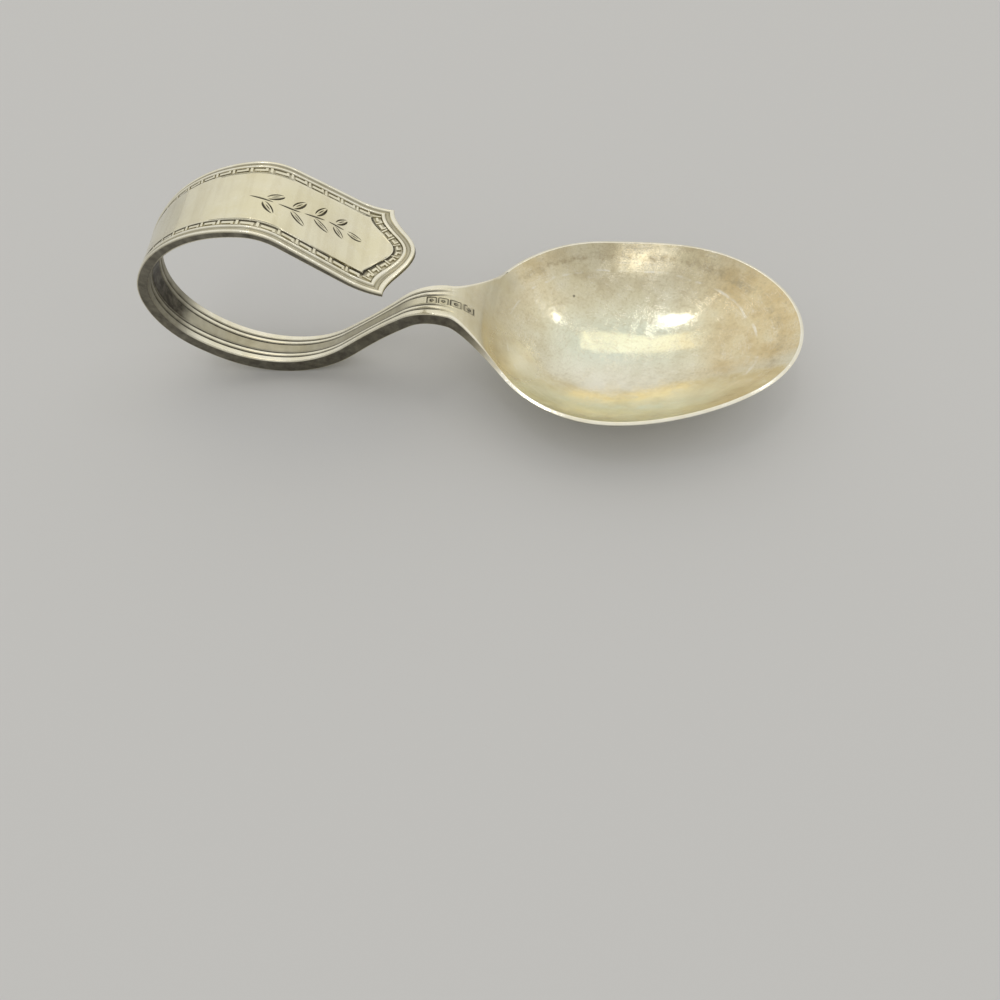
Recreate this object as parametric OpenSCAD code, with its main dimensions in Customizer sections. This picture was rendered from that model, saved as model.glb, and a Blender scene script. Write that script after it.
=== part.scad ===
// Curved-handle baby spoon, struck from one silver blank: an egg-shaped bowl, a flared neck and a
// tapered band that is bent back over itself into a finger loop and ends in a bordered shield.
// Millimetres. The spoon lies on the table at z = 0, origin under the bowl, bowl tip towards +X.

/* [Bowl] */
// Width across the bowl, inside the rim
bowl_w = 31.2; // [26:0.1:36]
// Length from the widest place of the bowl to its tip
bowl_tip_l = 25; // [20:0.1:30]
// Length from the widest place of the bowl back to its heel
bowl_heel_l = 17; // [14:0.1:21]
// Fullness of the outline between the widest place and the tip: 0 is half an ellipse
tip_fullness = 0.012; // [0:0.002:0.04]
// Height of the rim above the table at the widest place
rim_h = 8.3; // [6.5:0.1:10]
// Rise of the rim at the tip
tip_rise = 1.4; // [0:0.1:2.5]
// Rise of the rim at the heel
heel_rise = 1.4; // [0:0.1:2.5]
// Metal at the bottom of the bowl
bowl_t = 1.1; // [0.8:0.05:1.6]
// Metal just under the rim
rim_t = 0.7; // [0.5:0.05:1]
// Width of the level land along the rim
rim_land = 0.45; // [0.3:0.05:0.7]
// Fall of the land to its outer edge
land_fall = 0.15; // [0.05:0.05:0.3]
// Metal at the heel, where the neck runs in
heel_t = 1.5; // [0.9:0.05:2.2]
// Fullness of the bowl: 2 is a parabola, more has a flatter bottom
bowl_fullness = 2.3; // [1.8:0.05:2.6]
// Half width of the flat that the bowl stands on
flat_r = 2.5; // [1.5:0.1:4]

/* [Neck] */
// Length of the flare between the band and the bowl's heel
neck_l = 4.3; // [3.5:0.1:6]
// Height of the band's upper face where the flare starts
neck_h = 12.45; // [11:0.05:14]
// Fall of the band towards the bowl where the flare starts, in degrees
neck_pitch = 13.7; // [5:0.1:25]
// Width of the band where the flare starts
neck_w = 5.5; // [4.5:0.1:8]
// Thickness of the band where the flare starts
neck_t = 2; // [1.5:0.05:2.6]
// Half angle of the bowl's outline that the flare takes up, in degrees
flare_a = 35; // [25:5:40]

/* [Handle bends, on the inner face] */
// Radius of the arch behind the neck
arch_r = 7.9; // [6:0.1:11]
// Turn of the arch, in degrees
arch_a = 48.9; // [40:0.1:56]
// Radius of the bend that rests on the table
low_r = 14.65; // [11:0.05:18]
// Turn of that bend
low_a = 86.8; // [78:0.1:94]
// Radius of the bend at the far left
left_r = 9.45; // [7:0.05:13]
// Turn of that bend
left_a = 66.3; // [58:0.1:74]
// Radius of the bend up to the top
up_r = 17.55; // [14:0.05:21]
// Turn of that bend
up_a = 61; // [54:0.1:68]
// Radius of the bend at the top
top_r = 6.05; // [4.5:0.05:9]
// Turn of that bend
top_a = 36.1; // [28:0.1:44]
// Straight run behind the shield
shield_run = 7.7; // [5:0.1:11]
// Radius of the shield's outward flare
end_r = 10.4; // [8:0.1:16]
// Turn of the flare up to the shield's corners
end_a = 26; // [16:0.1:36]

/* [Band] */
// Width at the narrowest place, in the middle of the run behind the arch
stem_w = 3.2; // [2.6:0.1:4.5]
// Width where the band rests on the table
low_w = 4.75; // [3.6:0.05:6.5]
// Width in the middle of the left bend
left_w = 6; // [4.6:0.1:8]
// Width in the middle of the upper bend
up_w = 9.65; // [7.5:0.05:12]
// Width after the top bend
top_w = 12.05; // [10:0.05:14]
// Width across the shield's corners
end_w = 13.9; // [11:0.1:17]
// Thickness of the edge where the band rests on the table
low_t = 2.25; // [1.7:0.05:2.8]
// Thickness of the edge in the middle of the left bend
left_t = 1.45; // [1.1:0.05:2]
// Thickness of the edge in the middle of the upper bend
up_t = 0.85; // [0.65:0.05:1.2]
// Thickness of the edge after the top bend
top_t = 0.7; // [0.5:0.05:1]
// Thickness of the edge at the shield's corners
end_t = 0.4; // [0.35:0.05:0.8]
// Length of the shield's point beyond its corners
point_l = 3.35; // [2:0.05:5]

/* [Border of the outer face, at the shield] */
// Width of the moulded rail along the edge
rail_w = 1.35; // [1:0.05:1.8]
// Width of the channel that holds the fret
fret_w = 0.85; // [0.6:0.05:1.2]
// Width of the border round the point
point_border = 2.65; // [2.2:0.05:3.4]
// Fall of the edge below the channel
fall_h = 0.06; // [0.02:0.01:0.3]
// Depth of the channel below the panel
step_h = 0.28; // [0.15:0.01:0.4]
// Height of the rail's bead and reed
rail_h = 0.3; // [0.15:0.01:0.4]
// Height of the fret above the channel
fret_h = 0.2; // [0.1:0.01:0.3]
// Length of one key of the fret along the sides
fret_pitch = 2; // [1.6:0.1:2.6]
// Number of keys along each side
fret_count = 13; // [8:1:14]

/* [Threads of the inner face] */
// Width of the flat rim along the edge
thread_rim = 0.9; // [0.6:0.05:1.1]
// Width of each groove
groove_w = 0.25; // [0.15:0.01:0.35]
// Width of the thread between the grooves
thread_w = 0.5; // [0.3:0.01:0.6]
// Depth of each groove
groove_d = 0.2; // [0.1:0.01:0.3]

/* [Hidden] */

// Small helpers
function clamp01(v) = max(0, min(1, v));
function ease(v) = let (c = clamp01(v)) c * c * (3 - 2 * c);
function mix(a, b, u) = a + (b - a) * u;
function unit(v) = v / norm(v);
function hermite(p, tp, q, tq, u) =
    (2 * u * u * u - 3 * u * u + 1) * p + (u * u * u - 2 * u * u + u) * tp
    + (3 * u * u - 2 * u * u * u) * q + (u * u * u - u * u) * tq;

// Two triangles for the quad a-b-c-d; the split runs from the point nearer the middle plane at the
// first station, so that two pieces that share a seat share its facets too
function split(a, b, c, d, points) =
    abs(points[a][1]) <= abs(points[b][1]) ? [[a, b, c], [a, c, d]] : [[a, b, d], [b, c, d]];

// Skin of a loft whose rows are closed sections of n points; a quad whose ends lie level across the
// band is flat and stays whole
function level(p, q) = norm([p[0] - q[0], p[2] - q[2]]) < 1e-6;
function skin(rows, points) =
    let (n = len(rows[0]))
    [for (i = [0 : len(rows) - 2], j = [0 : n - 1])
        let (a = i * n + j, b = i * n + (j + 1) % n, c = b + n, d = a + n)
        each level(points[a], points[b]) && level(points[c], points[d])
            ? [[a, b, c, d]] : split(a, b, c, d, points)];
function flatten(rows) = [for (r = rows) each r];

// Bowl: rays from the lowest point to the rim. u is the share of the way to the rim, f the angle of
// the outline, 0 at the tip and 180 at the heel
bowl_steps = 72;
bowl_rings = [flat_r / (bowl_w / 2), 0.3, 0.43, 0.55, 0.66, 0.76, 0.85, 0.93, 1];
tip_rise_share = 0.75;
heel_rise_power = 5;
heel_blend_power = 14;
function outline_swell(f) = cos(f) > 0 ? 1 + tip_fullness * pow(sin(2 * f), 2) : 1;
function rim_xy(f) =
    [(cos(f) > 0 ? bowl_tip_l : bowl_heel_l) * cos(f), bowl_w / 2 * sin(f)] * outline_swell(f);
function rim_z(f) =
    rim_h + (cos(f) > 0 ? tip_rise * ease(cos(f) / tip_rise_share)
                        : heel_rise * pow(-cos(f), heel_rise_power));
function inside(u, f) =
    let (r = rim_xy(f)) [r[0] * u, r[1] * u, bowl_t + (rim_z(f) - bowl_t) * pow(u, bowl_fullness)];
function inside_normal(u, f) =
    let (out = inside(u, f) - inside(u - 0.001, f), round = inside(u, f + 0.05) - inside(u, f - 0.05))
    unit(cross(out, round));
// Share of the heel: 1 in line with the neck, dying away round the outline
function heel(f) = pow(max(0, -cos(f)), heel_blend_power);
function metal(u, f) = mix(bowl_t, rim_t, u * u) + (heel_t - rim_t) * pow(u, 4) * heel(f);
function land(f) =
    let (n = inside_normal(1, f), o = unit([-n[0], -n[1], 0]))
    inside(1, f) + o * rim_land - [0, 0, land_fall];
// The outer skin follows the inner one at the metal's thickness; it ends in a flat underneath, in a
// level land along the rim and square to the metal at the heel, where the neck meets it
function outside(u, f) =
    let (p = inside(u, f) - inside_normal(u, f) * metal(u, f))
    u <= bowl_rings[0] ? [p[0], p[1], 0] : u < 1 ? p : mix(land(f), p, heel(f));

module bowl() {
    n = bowl_steps;
    rings = len(bowl_rings);
    angles = [for (j = [0 : n - 1]) 360 * j / n];
    inner = [for (u = bowl_rings, f = angles) inside(u, f)];
    outer = [for (u = bowl_rings, f = angles) outside(u, f)];
    points = concat([inside(0, 0)], inner, outer);
    function at_in(r, j) = 1 + r * n + j % n;
    function at_out(r, j) = at_in(r, j) + n * rings;
    faces = concat(
        [for (j = [0 : n - 1]) [0, at_in(0, j + 1), at_in(0, j)]],
        [for (r = [0 : rings - 2], j = [0 : n - 1])
            each split(at_in(r, j), at_in(r, j + 1), at_in(r + 1, j + 1), at_in(r + 1, j), points)],
        [for (j = [0 : n - 1])
            each split(at_in(rings - 1, j), at_in(rings - 1, j + 1),
                       at_out(rings - 1, j + 1), at_out(rings - 1, j), points)],
        [for (r = [0 : rings - 2], j = [0 : n - 1])
            each split(at_out(r + 1, j), at_out(r + 1, j + 1), at_out(r, j + 1), at_out(r, j), points)],
        [[for (j = [0 : n - 1]) at_out(0, j)]]);
    color("silver") polyhedron(points, faces, convexity = 6);
}

// Handle path on the band's inner face: a chain of tangent arcs and straight runs, each [radius,
// length], with a radius of 0 for a straight. A pose is [x, z, heading]
function arc_l(r, a) = r * a * PI / 180;
function travel(pose, r, l) =
    let (h = pose[2], g = r == 0 ? h : h + l / r * 180 / PI)
    r == 0 ? [pose[0] + l * cos(h), pose[1] + l * sin(h), h]
           : [pose[0] + r * (sin(g) - sin(h)), pose[1] - r * (cos(g) - cos(h)), g];

// The run behind the arch is as long as the band needs to reach the table
start = [-bowl_heel_l - neck_l, neck_h, 180 - neck_pitch];
arch_end = travel(start, arch_r, arc_l(arch_r, arch_a));
drop_a = arch_end[2] - 180;
low_n = low_t + (fall_h + step_h) * pow(low_w / end_w, 2);
run_l = (arch_end[1] - low_n - low_r * (1 - cos(drop_a))) / sin(drop_a);

chain = [[arch_r, arc_l(arch_r, arch_a)], [0, run_l], [-low_r, arc_l(low_r, low_a)],
         [-left_r, arc_l(left_r, left_a)], [-up_r, arc_l(up_r, up_a)], [-top_r, arc_l(top_r, top_a)],
         [0, shield_run], [end_r, arc_l(end_r, end_a) + 2 * point_l]];
marks = [for (i = 0, s = 0; i <= len(chain); s = s + (i < len(chain) ? chain[i][1] : 0), i = i + 1) s];
poses = [for (i = 0, p = start; i < len(chain); p = travel(p, chain[i][0], chain[i][1]), i = i + 1) p];
function link(s, i = 0) = i == len(chain) - 1 || s < marks[i + 1] ? i : link(s, i + 1);
function pose(s) = let (i = link(s)) travel(poses[i], chain[i][0], s - marks[i]);
function place(s, y, n) = let (p = pose(s)) [p[0] - n * sin(p[2]), y, p[1] + n * cos(p[2])];

// Width and edge thickness along the band, eased through named stations
corner_s = marks[7] + arc_l(end_r, end_a);
stations = [0, (marks[1] + marks[2]) / 2, marks[2] + arc_l(low_r, drop_a),
            (marks[3] + marks[4]) / 2, (marks[4] + marks[5]) / 2, marks[6], corner_s];
half_widths = [neck_w, stem_w, low_w, left_w, up_w, top_w, end_w] / 2;
edge_ts = [neck_t, neck_t, low_t, left_t, up_t, top_t, end_t];
function secant(v, i) = (v[i + 1] - v[i]) / (stations[i + 1] - stations[i]);
function lean(v, i) =
    i == 0 ? secant(v, 0) : i == len(v) - 1 ? secant(v, i - 1)
    : secant(v, i - 1) * secant(v, i) <= 0 ? 0
    : 2 * secant(v, i - 1) * secant(v, i) / (secant(v, i - 1) + secant(v, i));
function stretch(s, i = 0) = i == len(stations) - 2 || s < stations[i + 1] ? i : stretch(s, i + 1);
function along(v, s) =
    let (i = stretch(s), l = stations[i + 1] - stations[i])
    hermite(v[i], lean(v, i) * l, v[i + 1], lean(v, i + 1) * l, (s - stations[i]) / l);
function half_w(s) = s >= corner_s ? half_widths[6] : along(half_widths, s);
function edge_t(s) = s >= corner_s ? edge_ts[6] : along(edge_ts, s);

// Section of the band at s, from the middle of the inner face round the edge to the panel: pairs of
// [distance in from the edge, distance out from the inner face]
relief_l = 6;
panel_edge = 0.1;
thread_reach = 2.6;
function taper(s) = half_w(s) / half_widths[6];
function fade_in(s) = ease(s / relief_l);
function relief(s) = pow(taper(s), 2) * fade_in(s);
function edge_n(s) = edge_t(s);
function floor_n(s) = edge_t(s) + fall_h * relief(s);
function panel_n(s) = floor_n(s) + step_h * relief(s);
function section(s) =
    let (k = min(half_w(s), thread_reach) / thread_reach, g = groove_d * k * fade_in(s),
         a = thread_rim * k, b = a + groove_w * k, c = b + thread_w * k, d = c + groove_w * k, q = taper(s))
    [[d, 0], [(c + d) / 2, g], [c, 0], [b, 0], [(a + b) / 2, g], [a, 0], [0, 0],
     [0, edge_n(s)], [rail_w * q, floor_n(s)], [(rail_w + fret_w) * q, floor_n(s)],
     [(rail_w + fret_w + panel_edge) * q, panel_n(s)]];
function mirrored(row) = [for (i = [len(row) - 1 : -1 : 0]) [row[i][0], -row[i][1], row[i][2]]];

// Near half of the section at s
function side_row(s, sec) = [for (q = sec) place(s, -half_w(s) + q[0], q[1])];
// Near half of the section round the point, where the border is wider: u runs from 0 at the corner to 1
// at the point's tip
point_half = 0.3;
point_spread = point_border / (rail_w + fret_w);
function point_row(u, sec) =
    [for (q = sec)
        let (w = half_widths[6] - q[0], y = mix(w, point_half, u))
        place(corner_s - q[0] * point_spread + point_l * (1 + cos(180 * y / w)) / 2, -y, q[1])];

// Stations of the three lengths of band. The fret's cells lie between the last of them
fret_end = corner_s - (rail_w + fret_w + 2 * panel_edge) * point_spread;
fret_start = fret_end - fret_count * fret_pitch;
function spread(a, b, n) = [for (i = [0 : n]) mix(a, b, i / n)];
shank_s = spread(0, marks[2], 14);
rail_s = spread(marks[3], fret_start, 16);
loop_s = concat(spread(marks[2], marks[3], 18), [for (i = [1 : 16]) rail_s[i]]);
shield_s = spread(fret_start, fret_end, fret_count * 2);
point_u = spread(0, 1, 10);

// Triangles over one end of the band: both halves of the section, then the strip between them
half_end = [[7, 6, 5], [7, 5, 4], [7, 4, 8], [8, 4, 3], [8, 3, 2], [8, 2, 1], [8, 1, 9], [9, 1, 0], [9, 0, 10]];
function band_end(from) =
    concat([for (t = half_end) [for (k = t) from + k]],
           [for (t = half_end) [for (k = [2 : -1 : 0]) from + 21 - t[k]]],
           [[from, from + 21, from + 11], [from, from + 11, from + 10]]);
function turned(faces) = [for (t = faces) [t[0], t[2], t[1]]];

module band(s_list) {
    rows = [for (s = s_list) let (near = side_row(s, section(s))) concat(near, mirrored(near))];
    points = flatten(rows);
    last = (len(rows) - 1) * len(rows[0]);
    faces = concat(skin(rows, points), band_end(0), turned(band_end(last)));
    polyhedron(points, faces, convexity = 8);
}

module shank() { color("silver") band(shank_s); }

module loop() { color("silver") band(loop_s); }

module shield() {
    near = concat([for (s = shield_s) side_row(s, section(s))],
                  [for (u = point_u) point_row(u, section(corner_s))]);
    rows = [for (r = near) concat(r, mirrored(r))];
    points = flatten(rows);
    n = len(rows[0]);
    last = (len(rows) - 1) * n;
    tip = [for (k = [0 : n / 2 - 2]) [last + k, last + k + 1, last + n - 2 - k, last + n - 1 - k]];
    faces = concat(skin(rows, points), band_end(0),
                   [for (q = tip) each split(q[0], q[1], q[2], q[3], points)]);
    color("silver") polyhedron(points, faces, convexity = 8);
}

// Neck: from the band's plain end, over a flare, to the edge of the bowl's rim at the heel
neck_rows = 10;
neck_cols = round(flare_a / (360 / bowl_steps));
function flare_angle(j) = 180 - j * 360 / bowl_steps;
function neck_pull() = neck_l * 1.25;
function band_dir() = let (h = start[2]) -[cos(h), 0, sin(h)];
function rim_dir(f, e) =
    let (inward = unit(inside(0.98, f) - inside(1, f)),
         along_rim = unit(inside(1, f + (f < 180 ? -0.05 : 0.05)) - inside(1, f)))
    unit(mix(inward, along_rim, e * e));
function neck_top(j, u) =
    hermite(place(0, half_widths[0] * j / neck_cols, 0), band_dir() * neck_pull(),
            inside(1, flare_angle(j)), rim_dir(flare_angle(j), abs(j) / neck_cols) * neck_pull(), u);
function neck_under(j, u) =
    hermite(place(0, half_widths[0] * j / neck_cols, edge_n(0)), band_dir() * neck_pull(),
            outside(1, flare_angle(j)), rim_dir(flare_angle(j), abs(j) / neck_cols) * neck_pull(), u);

module neck() {
    m = neck_cols;
    rows = [for (i = [neck_rows : -1 : 0])
        let (u = i / neck_rows)
        concat([for (j = [-m : m]) neck_under(j, u)], [for (j = [m : -1 : -m]) neck_top(j, u)])];
    points = flatten(rows);
    n = len(rows[0]);
    last = (len(rows) - 1) * n;
    heel = [for (j = [0 : 2 * m - 1]) [n - 1 - j, n - 2 - j, j + 1, j]];
    faces = concat(skin(rows, points), [for (q = heel) each split(q[0], q[1], q[2], q[3], points)],
                   [for (q = heel) each split(last + q[1], last + q[0], last + q[3], last + q[2], points)]);
    color("silver") polyhedron(points, faces, convexity = 6);
}

// Rail: an outer bead, a cove and an inner reed on the sloping seat along the edge. Pairs of [share of
// the rail's width, share of its height]. It fades in along the left bend
rail_profile = [[0, 0.45], [0.18, 0.95], [0.37, 0.45], [0.56, 0.45], [0.74, 1], [0.94, 0.6]];
rail_fade_l = 9;
function rail_fade(s) = mix(0.4, 1, ease((s - marks[3]) / rail_fade_l)) * taper(s);
function rail_section(s) =
    let (w = rail_w * taper(s), h = rail_h * rail_fade(s), e = edge_n(s), f = floor_n(s))
    concat([[w, f], [0, e]], [for (q = rail_profile) [w * q[0], mix(e, f, q[0]) + h * q[1]]]);

module rail(rows) {
    points = flatten(rows);
    n = len(rows[0]);
    last = (len(rows) - 1) * n;
    polyhedron(points, concat(skin(rows, points), [[for (j = [n - 1 : -1 : 0]) j]],
                              [[for (j = [0 : n - 1]) last + j]]), convexity = 6);
}

module near_rail() {
    side = [for (i = [0 : len(rail_s) - 2]) rail_s[i]];
    rows = concat([for (s = concat(side, shield_s)) side_row(s, rail_section(s))],
                  [point_row(0, rail_section(corner_s))]);
    color("silver") rail(rows);
}

module far_rail() { mirror([0, 1, 0]) near_rail(); }

module point_rail() {
    near = [for (u = point_u) point_row(u, rail_section(corner_s))];
    m = len(near) - 1;
    far = [for (i = [m : -1 : 0]) [for (p = near[i]) [p[0], -p[1], p[2]]]];
    color("silver") rail(concat(near, far));
}

// Fret: keys of two interlocked angles, each drawn in shares of its cell's length and of the channel's width
key_rise = [[0.1, 0.08], [0.32, 0.08], [0.32, 0.68], [0.94, 0.68], [0.94, 0.92], [0.1, 0.92]];
key_hook = [[0.9, 0.92], [0.68, 0.92], [0.68, 0.32], [0.06, 0.32], [0.06, 0.08], [0.9, 0.08]];
function channel(s) = [[rail_w * taper(s), floor_n(s)], [(rail_w + fret_w) * taper(s), floor_n(s)]];

// One cell on the flat between the channel points a-b (rail side) and c-d (panel side)
module cell(a, b, c, d, key) {
    ex = unit(b - a);
    ez = unit(cross(ex, c - a));
    ey = cross(ez, ex);
    shape = [for (q = key) let (p = mix(mix(a, b, q[0]), mix(c, d, q[0]), q[1]) - a) [p * ex, p * ey]];
    multmatrix([[ex[0], ey[0], ez[0], a[0]], [ex[1], ey[1], ez[1], a[1]], [ex[2], ey[2], ez[2], a[2]]])
        linear_extrude(height = fret_h) polygon(shape);
}

module fret(rows) {
    for (i = [0 : len(rows) - 2])
        cell(rows[i][0], rows[i + 1][0], rows[i][1], rows[i + 1][1], i % 2 == 0 ? key_rise : key_hook);
}

module near_fret() { color("silver") fret([for (s = shield_s) side_row(s, channel(s))]); }

module far_fret() { mirror([0, 1, 0]) near_fret(); }

module point_half_fret() { fret([for (u = point_u) point_row(u, channel(corner_s))]); }

module point_fret() {
    color("silver") {
        point_half_fret();
        mirror([0, 1, 0]) point_half_fret();
    }
}

bowl();
neck();
shank();
loop();
shield();
near_rail();
far_rail();
point_rail();
near_fret();
far_fret();
point_fret();
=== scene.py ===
# Curved-handle baby spoon in aged silver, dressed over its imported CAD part. The spoon lies on the table
# at z = 0, bowl tip towards +X, decorated side of the handle outwards. Lengths below are millimetres.
import math

import bmesh
import bpy
import numpy as np
from mathutils import Matrix, Vector
from mathutils.geometry import delaunay_2d_cdt


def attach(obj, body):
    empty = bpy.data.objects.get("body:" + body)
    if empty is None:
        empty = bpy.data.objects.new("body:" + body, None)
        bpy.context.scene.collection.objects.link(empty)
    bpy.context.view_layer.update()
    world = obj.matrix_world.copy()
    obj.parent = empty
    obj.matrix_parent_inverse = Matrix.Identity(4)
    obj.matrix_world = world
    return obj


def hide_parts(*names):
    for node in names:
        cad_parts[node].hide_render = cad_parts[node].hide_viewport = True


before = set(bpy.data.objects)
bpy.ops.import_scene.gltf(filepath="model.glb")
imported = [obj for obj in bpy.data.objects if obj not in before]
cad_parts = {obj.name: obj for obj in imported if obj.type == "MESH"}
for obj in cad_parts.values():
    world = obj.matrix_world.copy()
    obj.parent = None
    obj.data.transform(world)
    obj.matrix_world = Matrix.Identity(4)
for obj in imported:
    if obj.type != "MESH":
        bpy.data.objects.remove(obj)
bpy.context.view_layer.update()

# The bowl: an egg-shaped dish raised from the blank between two dies. The metal thins from the bottom to
# the rim, which is filed to a narrow level land, and it stands on a small flat worn underneath.
MM = 0.001
bowl_width = 31.2
bowl_tip = 25.0
bowl_heel = 17.0
tip_fullness = 0.012
rim_height = 8.3
tip_rise = 1.4
tip_rise_share = 0.75
heel_rise = 1.4
heel_rise_power = 5
heel_blend_power = 14
bowl_metal = 1.1
rim_metal = 0.7
heel_metal = 1.5
rim_land = 0.45
land_fall = 0.15
bowl_fullness = 2.3
flat_share = 2.5 / (bowl_width / 2)
flat_blend = 0.14
rim_round = 0.1
flare = math.radians(35)
bowl_step = math.radians(1.25)
nudge = 0.001


def ease(v):
    c = np.clip(v, 0, 1)
    return c * c * (3 - 2 * c)


def rise(v, start, length):
    """0 up to start, 1 from one length after it, eased between."""
    return ease((v - start) / length)


def mix(a, b, u):
    return a + (b - a) * u


def unit(v):
    return v / np.linalg.norm(v, axis=-1, keepdims=True)


def rim_z(f):
    c = np.cos(f)
    at_tip = tip_rise * ease(c / tip_rise_share)
    at_heel = heel_rise * np.maximum(0, -c) ** heel_rise_power
    return rim_height + np.where(c > 0, at_tip, at_heel)


def dish(u, f):
    c = np.cos(f)
    swell = np.where(c > 0, 1 + tip_fullness * np.sin(2 * f) ** 2, 1.0)
    x = np.where(c > 0, bowl_tip, bowl_heel) * c * swell * u
    y = bowl_width / 2 * np.sin(f) * swell * u
    z = bowl_metal + (rim_z(f) - bowl_metal) * u ** bowl_fullness
    return np.stack([x, y, z], -1)


def dish_normal(u, f):
    outward = dish(u, f) - dish(u - nudge, f)
    around = dish(u, f + nudge) - dish(u, f - nudge)
    return unit(np.cross(outward, around))


def heel_share(f):
    return np.maximum(0, -np.cos(f)) ** heel_blend_power


def dish_back(u, f):
    metal = mix(bowl_metal, rim_metal, u * u) + (heel_metal - rim_metal) * u ** 4 * heel_share(f)
    p = dish(u, f) - dish_normal(np.maximum(u, 0.01), f) * metal[..., None]
    p[..., 2] *= rise(u, flat_share, flat_blend)
    return p


def rim_back(f):
    n = dish_normal(np.ones_like(f), f)
    level = n * [-1, -1, 0]
    land = dish(np.ones_like(f), f) + unit(level) * rim_land - [0, 0, land_fall]
    return mix(land, dish_back(np.ones_like(f), f), heel_share(f)[..., None])


def bend_corner(before, corner, after, size, steps):
    a = corner + unit(before - corner) * size
    b = corner + unit(after - corner) * size
    return [(1 - t) ** 2 * a + 2 * t * (1 - t) * corner + t * t * b for t in np.linspace(0, 1, steps)]


class Skin:
    """Points, faces and point values of one closed piece. Hidden faces close it where it meets another
    piece, and cuts are the faces of engraved lines."""

    def __init__(self, name):
        self.name = name
        self.points = []
        self.faces = []
        self.hidden = []
        self.cuts = []
        # The first point value darkens the metal: tarnish in the hollows, and painted shade on the band's
        # walls, inside the loop and over the neck.
        self.values = {key: [] for key in ("recess", "worn", "tone", "cool", "basin", "reach")}

    def add(self, points, **values):
        start = len(self.points)
        self.points += [tuple(p) for p in points]
        for key, held in self.values.items():
            held += [float(v) for v in np.broadcast_to(values.get(key, 0.0), len(points))]
        return list(range(start, len(self.points)))

    def strip(self, a, b, closed=False):
        n = len(a)
        for j in range(n if closed else n - 1):
            k = (j + 1) % n
            self.faces.append((a[j], a[k], b[k], b[j]))

    def fan(self, centre, ring):
        for j in range(len(ring)):
            self.faces.append((centre, ring[j], ring[(j + 1) % len(ring)]))

    def zip_hidden(self, a, b, turn):
        at_a = np.linspace(0, 1, len(a))
        at_b = np.linspace(0, 1, len(b))
        i = j = 0
        while i < len(a) - 1 or j < len(b) - 1:
            if j == len(b) - 1 or (i < len(a) - 1 and at_a[i + 1] <= at_b[j + 1]):
                face = (a[i], a[i + 1], b[j])
                i += 1
            else:
                face = (a[i], b[j + 1], b[j])
                j += 1
            if len(set(face)) == 3:
                self.hidden.append(face if turn else face[::-1])


# The handle's path: a chain of tangent bends and straight runs along the band's inner face, as the band
# was bent over a former after striking. It sets off from the neck and is as long as it takes to touch
# the table once, under the loop.
neck_length = 4.3
neck_height = 12.45
neck_pitch = 13.7
shield_run = 7.7
point_length = 3.35
band_widths = [5.5, 3.2, 4.75, 6.0, 9.65, 12.05, 13.9]
edge_metals = [2.0, 2.0, 2.25, 1.45, 0.85, 0.7, 0.4]
bends = {"arch": (7.9, 48.9), "low": (14.65, 86.8), "left": (9.45, 66.3), "up": (17.55, 61.0),
         "top": (6.05, 36.1), "end": (10.4, 26.0)}
edge_fall = 0.06
panel_step = 0.28


def arc_length(name):
    radius, turn = bends[name]
    return radius * math.radians(turn)


def travel(pose, radius, length):
    x, z, h = pose
    if radius == 0:
        return (x + length * math.cos(h), z + length * math.sin(h), h)
    g = h + length / radius
    return (x + radius * (math.sin(g) - math.sin(h)), z - radius * (math.cos(g) - math.cos(h)), g)


path_start = (-bowl_heel - neck_length, neck_height, math.pi - math.radians(neck_pitch))
arch_end = travel(path_start, bends["arch"][0], arc_length("arch"))
drop = arch_end[2] - math.pi
low_outside = edge_metals[2] + (edge_fall + panel_step) * (band_widths[2] / band_widths[6]) ** 2
low_radius = bends["low"][0]
run_length = (arch_end[1] - low_outside - low_radius * (1 - math.cos(drop))) / math.sin(drop)
chain = [(bends["arch"][0], arc_length("arch")), (0, run_length), (-low_radius, arc_length("low")),
         (-bends["left"][0], arc_length("left")), (-bends["up"][0], arc_length("up")),
         (-bends["top"][0], arc_length("top")), (0, shield_run),
         (bends["end"][0], arc_length("end") + 2 * point_length)]
marks = [0.0]
link_poses = [path_start]
for radius, length in chain:
    marks.append(marks[-1] + length)
    link_poses.append(travel(link_poses[-1], radius, length))
corner_at = marks[7] + arc_length("end")
stations = [0, (marks[1] + marks[2]) / 2, marks[2] + low_radius * drop, (marks[3] + marks[4]) / 2,
            (marks[4] + marks[5]) / 2, marks[6], corner_at]


def place(s, y, n):
    i = max(k for k in range(len(chain)) if k == 0 or s >= marks[k])
    x, z, h = travel(link_poses[i], chain[i][0], s - marks[i])
    y = np.asarray(y, float)
    n = np.broadcast_to(n, y.shape)
    return np.stack([x - n * math.sin(h), y, z + n * math.cos(h)], -1)


def hermite(p, lean_p, q, lean_q, u):
    return ((2 * u ** 3 - 3 * u ** 2 + 1) * p + (u ** 3 - 2 * u ** 2 + u) * lean_p
            + (3 * u ** 2 - 2 * u ** 3) * q + (u ** 3 - u ** 2) * lean_q)


def eased_along(values, s):
    if s >= corner_at:
        return values[-1]
    gaps = np.diff(stations)
    slopes = np.diff(values) / gaps
    leans = [slopes[0]]
    for a, b in zip(slopes[:-1], slopes[1:]):
        leans.append(0 if a * b <= 0 else 2 * a * b / (a + b))
    leans.append(slopes[-1])
    i = max(k for k in range(len(gaps)) if k == 0 or s >= stations[k])
    u = (s - stations[i]) / gaps[i]
    return hermite(values[i], leans[i] * gaps[i], values[i + 1], leans[i + 1] * gaps[i], u)


def half_width(s):
    return eased_along(band_widths, s) / 2


def edge_metal(s):
    return eased_along(edge_metals, s)


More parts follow.
